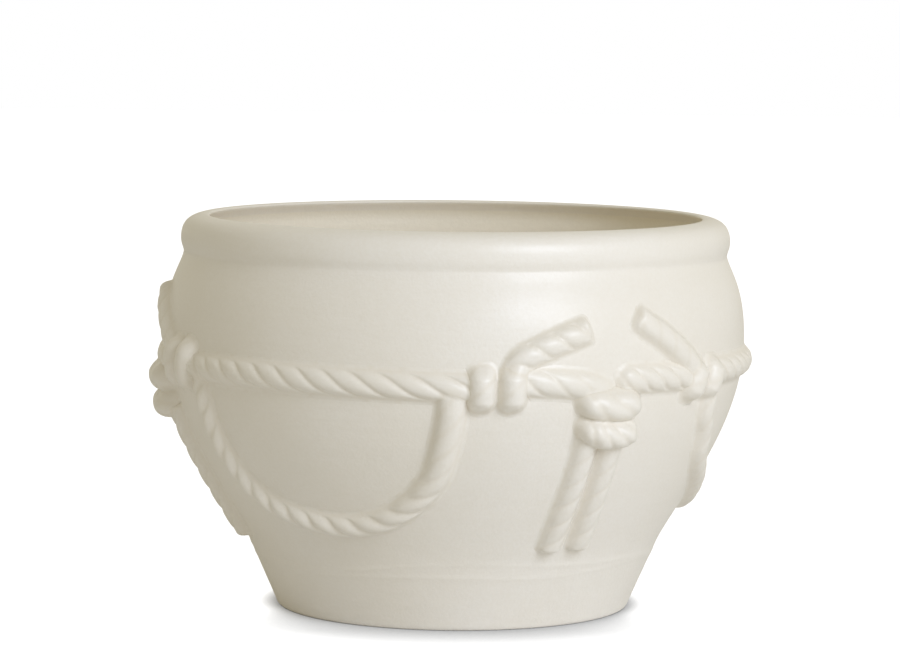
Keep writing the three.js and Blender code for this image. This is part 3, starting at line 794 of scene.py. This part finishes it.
def make_body():
    """Rows of rings with the wall's waves, closed by one point under and one point inside."""
    under, outside = underside(), outside_rows()
    profile = np.vstack([under, outside, rim_curve(), inside_curve()])
    radius, height = profile[:, 0][:, None], profile[:, 1][:, None]
    angle = np.linspace(0, 360, BODY_COLUMNS, endpoint=False)[None]
    turn = np.radians(angle)
    on_wall = np.clip(height, 0, NECK_HEIGHT)
    wave = wall_radius(angle, on_wall) - curve_radius(on_wall)
    rows = np.arange(len(profile))[:, None]
    neck_row = len(under) + len(outside)
    fade = np.where(rows >= neck_row, INSIDE_WAVE, np.clip(height / WAVE_START, 0, 1))
    fade = np.where(rows < len(under), 0.0, fade * np.clip(radius / WAVE_RADIUS, 0, 1))
    full = radius + wave * fade
    points = np.stack([full * np.sin(turn), -full * np.cos(turn), height + 0 * turn], -1)
    points = points.reshape(-1, 3)
    count = BODY_COLUMNS
    ring = np.arange(count)
    step = (ring + 1) % count
    start = np.arange(len(profile) - 1)[:, None] * count
    faces = np.stack([start + ring, start + step, start + count + step, start + count + ring], -1)
    last = (len(profile) - 1) * count
    poles = [(0, 0, FOOT_RECESS), (0, 0, FLOOR)]
    bottom, top = len(points), len(points) + 1
    fans = [[bottom, b, a] for a, b in zip(ring.tolist(), step.tolist())]
    fans += [[top, last + a, last + b] for a, b in zip(ring.tolist(), step.tolist())]
    points = np.vstack([points, poles])
    # Rows that take the inside's lighter colour, which paints in the brighter light on the inner
    # wall.
    within = np.append(np.repeat(rows >= neck_row + INSIDE_START, count), [0, 1])
    return make_object("pot_body_glazed", points, faces.reshape(-1, 4).tolist() + fans,
                       {"pool_and_shade": np.zeros(len(points)), "groove": np.zeros(len(points)),
                        "inside": within})


body = glazed["pot_body"] = make_body()
print("Body:", len(body.data.polygons), "faces, volume", round(signed_volume(body) * CM3, 1), "cm3")

# %% [markdown]
# ## The glaze
# A cream satin glaze is neither matt nor glossy: light spreads widely on it, and a close look shows
# a skin like an eggshell. Photographs of glaze could be used as textures, but nodes on object
# coordinates have no seams on a round pot. Slow noise shifts the cream a little, and fine noise
# grains it. The inside is lighter and a little yellower: the lightness is painted light, for the
# brighter light on the inner wall. The glaze is warmer and deeper where it gathers, in the fillets
# and between the strands, and this darkening is also painted shade there. Three scales of bump make
# the skin: flat noise for the rings that throwing leaves, and two finer ones for the eggshell.

# %% Glaze material
def put(tree, socket, value):
    """Links an input to another node's output, or sets it to a plain value."""
    if isinstance(value, bpy.types.NodeSocket):
        tree.links.new(value, socket)
    else:
        socket.default_value = value


def node(tree, kind, **inputs):
    """A shader node with some of its inputs set or linked by name."""
    made = tree.nodes.new(kind)
    for name, value in inputs.items():
        put(tree, made.inputs[name], value)
    return made


def combine(tree, operation, first, second):
    """Two values put together by a Math node."""
    made = tree.nodes.new("ShaderNodeMath")
    made.operation = operation
    for socket, value in zip(made.inputs, (first, second)):
        put(tree, socket, value)
    return made.outputs["Value"]


def mix_colour(tree, factor, first, second):
    """A colour mix of two colours or sockets by a factor socket."""
    mixed = tree.nodes.new("ShaderNodeMix")
    mixed.data_type = "RGBA"
    tree.links.new(factor, mixed.inputs["Factor"])
    colour_inputs = [s for s in mixed.inputs if s.type == "RGBA"]
    for socket, value in zip(colour_inputs, (first, second)):
        put(tree, socket, value)
    return [s for s in mixed.outputs if s.type == "RGBA"][0]


def ramp(tree, factor, low, high, start=0.0, end=1.0, smooth=False):
    """A factor stretched from low..high to start..end and kept there, with soft ends if smooth."""
    made = node(tree, "ShaderNodeMapRange", Value=factor)
    if smooth:
        made.interpolation_type = "SMOOTHSTEP"
    for name, value in (("From Min", low), ("From Max", high), ("To Min", start), ("To Max", end)):
        put(tree, made.inputs[name], value)
    return made.outputs["Result"]


def noise(tree, place, scale, detail, roughness):
    """Noise at a place, from 0 to 1."""
    return node(tree, "ShaderNodeTexNoise", Vector=place, Scale=scale, Detail=detail,
                Roughness=roughness).outputs["Fac"]


def attribute(tree, name):
    """What a mesh says of itself under a name, point by point."""
    made = tree.nodes.new("ShaderNodeAttribute")
    made.attribute_name = name
    return made.outputs["Fac"]


CREAM = (0.804, 0.748, 0.645, 1.0)
PALE_CREAM = (0.828, 0.780, 0.692, 1.0)
# The inside's cream is lighter and a little yellower; its lightness is painted light.
INSIDE_CREAM_PAINTED_LIGHT = (0.855, 0.795, 0.665, 1.0)
# Warmer, darker cream: for the grain, for glaze gathered in hollows, and as painted shade in the
# fillets and grooves.
POOLED_GRAIN_AND_SHADE = (0.755, 0.686, 0.562, 1.0)
GRAIN = 0.18
ROUGHNESS = (0.42, 0.52)
COAT = 0.22
COAT_ROUGHNESS = 0.3
BUMP_STRENGTH = 0.35
RING_FLATNESS = (1.0, 1.0, 10.0)
# A noise has so many spots to a metre, so many finer levels, and a share that each of them adds.
DRIFT_NOISE = (9.0, 3.0, 0.5)
MOTTLE_NOISE = (70.0, 4.0, 0.6)
GRAIN_NOISE = (480.0, 3.0, 0.6)
# The bumps' noises, each with its height in metres.
RINGS_NOISE, RINGS_DEPTH = (14.0, 2.0, 0.5), 0.0008
RIPPLE_NOISE, RIPPLE_DEPTH = (110.0, 2.0, 0.5), 0.0005
SHELL_NOISE, SHELL_DEPTH = (620.0, 2.0, 0.5), 0.0003


def make_glaze(name):
    """Cream satin glaze with slow colour drift, a lighter inside that is painted light, hollows
    warmed and darkened partly as painted shade, and an eggshell bump.
    """
    material = bpy.data.materials.new(name)
    material.use_nodes = True
    tree = material.node_tree
    shader = tree.nodes["Principled BSDF"]
    place = tree.nodes.new("ShaderNodeTexCoord").outputs["Object"]
    mottled = noise(tree, place, *MOTTLE_NOISE)
    drift = ramp(tree, noise(tree, place, *DRIFT_NOISE), 0.35, 0.65)
    base = mix_colour(tree, drift, CREAM, PALE_CREAM)
    # Painted light: the inside takes the lighter cream.
    base = mix_colour(tree, attribute(tree, "inside"), base, INSIDE_CREAM_PAINTED_LIGHT)
    grains = ramp(tree, noise(tree, place, *GRAIN_NOISE), 0.38, 0.62)
    base = mix_colour(tree, combine(tree, "MULTIPLY", grains, GRAIN), base, POOLED_GRAIN_AND_SHADE)
    # Painted shade, together with gathered glaze: the fillets' pool and the grooves between strands
    # darken the cream.
    between_strands = ramp(tree, attribute(tree, "groove"), 0.35, 1.6)
    hollow = combine(tree, "MAXIMUM", attribute(tree, "pool_and_shade"), between_strands)
    hollow_share = combine(tree, "MULTIPLY", hollow, ramp(tree, mottled, 0.0, 0.75))
    put(tree, shader.inputs["Base Color"], mix_colour(tree, hollow_share, base, POOLED_GRAIN_AND_SHADE))
    put(tree, shader.inputs["Roughness"], ramp(tree, mottled, 0.0, 1.0, *ROUGHNESS))
    shader.inputs["Specular IOR Level"].default_value = 0.5
    shader.inputs["Coat Weight"].default_value = COAT
    shader.inputs["Coat Roughness"].default_value = COAT_ROUGHNESS
    flat = node(tree, "ShaderNodeMapping", Vector=place, Scale=RING_FLATNESS).outputs[0]
    normal = None
    for height, depth in ((noise(tree, flat, *RINGS_NOISE), RINGS_DEPTH),
                          (noise(tree, place, *RIPPLE_NOISE), RIPPLE_DEPTH),
                          (noise(tree, place, *SHELL_NOISE), SHELL_DEPTH)):
        bump = node(tree, "ShaderNodeBump", Strength=BUMP_STRENGTH, Distance=depth, Height=height)
        if normal:
            tree.links.new(normal, bump.inputs["Normal"])
        normal = bump.outputs["Normal"]
    tree.links.new(normal, shader.inputs["Normal"])
    return material


body_glaze = make_glaze("cream_satin_glaze")
cord_glaze = make_glaze("cream_satin_glaze_on_cords")

# %% [markdown]
# ## Placing the pieces in the frame
# Each glazed piece stands for one node of the frame, rides on the one body there is, and takes
# one of the two glazes.

# %% Ride and replace
for name, obj in glazed.items():
    on_body = name == "pot_body"
    obj.data.materials.append(body_glaze if on_body else cord_glaze)
    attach(obj, "root")
    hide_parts(name)

# %% [markdown]
# ## Studio
# The pot stands on a white sweep. One large soft lamp, a little bluish, stands to the right, in
# front and above, and a warm white room fills the rest; the room is brighter behind the pot, so
# its edges stay light. Several small lamps could copy the photograph's shading more closely, but
# they would throw shadows that it doesn't have. The floor looks white to the camera because it
# glows for camera rays only, and for them its own colour is darker, so that the lamp's long shadow
# doesn't show. The glow fades where the pot closes the floor in, which paints a soft shadow round
# the foot; its reach is set longer in front, where the pot stands between the floor and the
# brighter part of the room, as in the photograph.

# %% Floor, lamps and world
FLOOR_SIZE = 16.0
WHITE = (1.0, 1.0, 1.0, 1.0)
FLOOR_COLOUR = (0.86, 0.86, 0.86, 1.0)
FLOOR_SEEN = (0.3, 0.3, 0.3, 1.0)
FLOOR_ROUGHNESS = 0.9
FLOOR_SHINE = 0.1
# The floor's glow fades near the pot: a painted shadow with these reaches and this range.
SIDE_SHADOW = 0.012     # reach of the soft shadow, in metres, at the sides and in front
FRONT_SHADOW = 0.06
SIDE_PLACE = -0.03      # between these two places, forward of the axis, the reach grows
FRONT_PLACE = -0.11
SHADOW_RANGE = (0.15, 0.88)
SHADOW_SAMPLES = 16
ROOM_LIGHT = 0.47
BACKDROP_LIGHT = 0.235
BACKDROP_EDGE = 0.9
ROOM_TINT = (1.0, 0.956, 0.797, 1.0)
LAMP_AIM = Vector((0, 0, 0.12))
LAMP_DISTANCE = 2.6
KEY_ANGLES = (36, 25)
KEY_SIZE = 1.1
KEY_POWER = 41.8
KEY_TINT = (0.762, 0.832, 1.0)


def camera_ray(tree):
    """1 for rays that come straight from the camera, and 0 for the light that falls on the pot."""
    return tree.nodes.new("ShaderNodeLightPath").outputs["Is Camera Ray"]


def along_y(tree, coordinates):
    """The part of a place or direction that runs from the front to the back."""
    way = tree.nodes.new("ShaderNodeTexCoord").outputs[coordinates]
    return node(tree, "ShaderNodeSeparateXYZ", Vector=way).outputs["Y"]


def painted_shadow_factor(tree):
    """The painted shadow: 1 where the floor lies open, falling to 0 where the pot closes it in."""
    reach = ramp(tree, along_y(tree, "Object"), FRONT_PLACE, SIDE_PLACE, FRONT_SHADOW, SIDE_SHADOW,
                 smooth=True)
    closeness = node(tree, "ShaderNodeAmbientOcclusion", Distance=reach)
    closeness.samples = SHADOW_SAMPLES
    return ramp(tree, closeness.outputs["AO"], *SHADOW_RANGE)


def make_floor():
    """A wide white plane whose material adds a glow for camera rays, with a painted shadow near the
    pot.
    """
    half = FLOOR_SIZE / 2
    corners = [(-half, -half, 0), (half, -half, 0), (half, half, 0), (-half, half, 0)]
    mesh = bpy.data.meshes.new("studio_floor")
    mesh.from_pydata(corners, [], [(0, 1, 2, 3)])
    floor = bpy.data.objects.new("studio_floor", mesh)
    bpy.context.collection.objects.link(floor)
    material = bpy.data.materials.new("studio_white")
    material.use_nodes = True
    tree = material.node_tree
    shader = tree.nodes["Principled BSDF"]
    seen = camera_ray(tree)
    put(tree, shader.inputs["Base Color"], mix_colour(tree, seen, FLOOR_COLOUR, FLOOR_SEEN))
    shader.inputs["Roughness"].default_value = FLOOR_ROUGHNESS
    shader.inputs["Specular IOR Level"].default_value = FLOOR_SHINE
    shader.inputs["Emission Color"].default_value = WHITE
    # Where the glow fades, the floor shows a painted shadow round the foot.
    glow = combine(tree, "MULTIPLY", seen, painted_shadow_factor(tree))
    put(tree, shader.inputs["Emission Strength"], glow)
    mesh.materials.append(material)


def make_lamp(name, round_angle, up_angle, size, power, colour):
    """A square soft lamp aimed at the pot, at angles round from the front and up, in degrees."""
    data = bpy.data.lights.new(name, "AREA")
    data.shape = "SQUARE"
    data.size = size
    data.energy = power
    data.color = colour
    lamp = bpy.data.objects.new(name, data)
    turn, up = np.radians(round_angle), np.radians(up_angle)
    away = Vector((np.sin(turn) * np.cos(up), -np.cos(turn) * np.cos(up), np.sin(up)))
    lamp.location = LAMP_AIM + LAMP_DISTANCE * away
    lamp.rotation_euler = (-away).to_track_quat("-Z", "Y").to_euler()
    bpy.context.collection.objects.link(lamp)


def make_world():
    """A soft room, brighter behind the pot, and plain white wherever the camera sees it."""
    world = bpy.data.worlds.new("studio_room")
    world.use_nodes = True
    tree = world.node_tree
    background = tree.nodes["Background"]
    room = ramp(tree, along_y(tree, "Generated"), 0.0, BACKDROP_EDGE, ROOM_LIGHT,
                ROOM_LIGHT + BACKDROP_LIGHT, smooth=True)
    seen = camera_ray(tree)
    put(tree, background.inputs["Color"], mix_colour(tree, seen, ROOM_TINT, WHITE))
    put(tree, background.inputs["Strength"], ramp(tree, seen, 0.0, 1.0, start=room))
    bpy.context.scene.world = world


make_floor()
make_world()
make_lamp("key_softbox", *KEY_ANGLES, KEY_SIZE, KEY_POWER, KEY_TINT)
bpy.context.scene.view_settings.view_transform = "Standard"
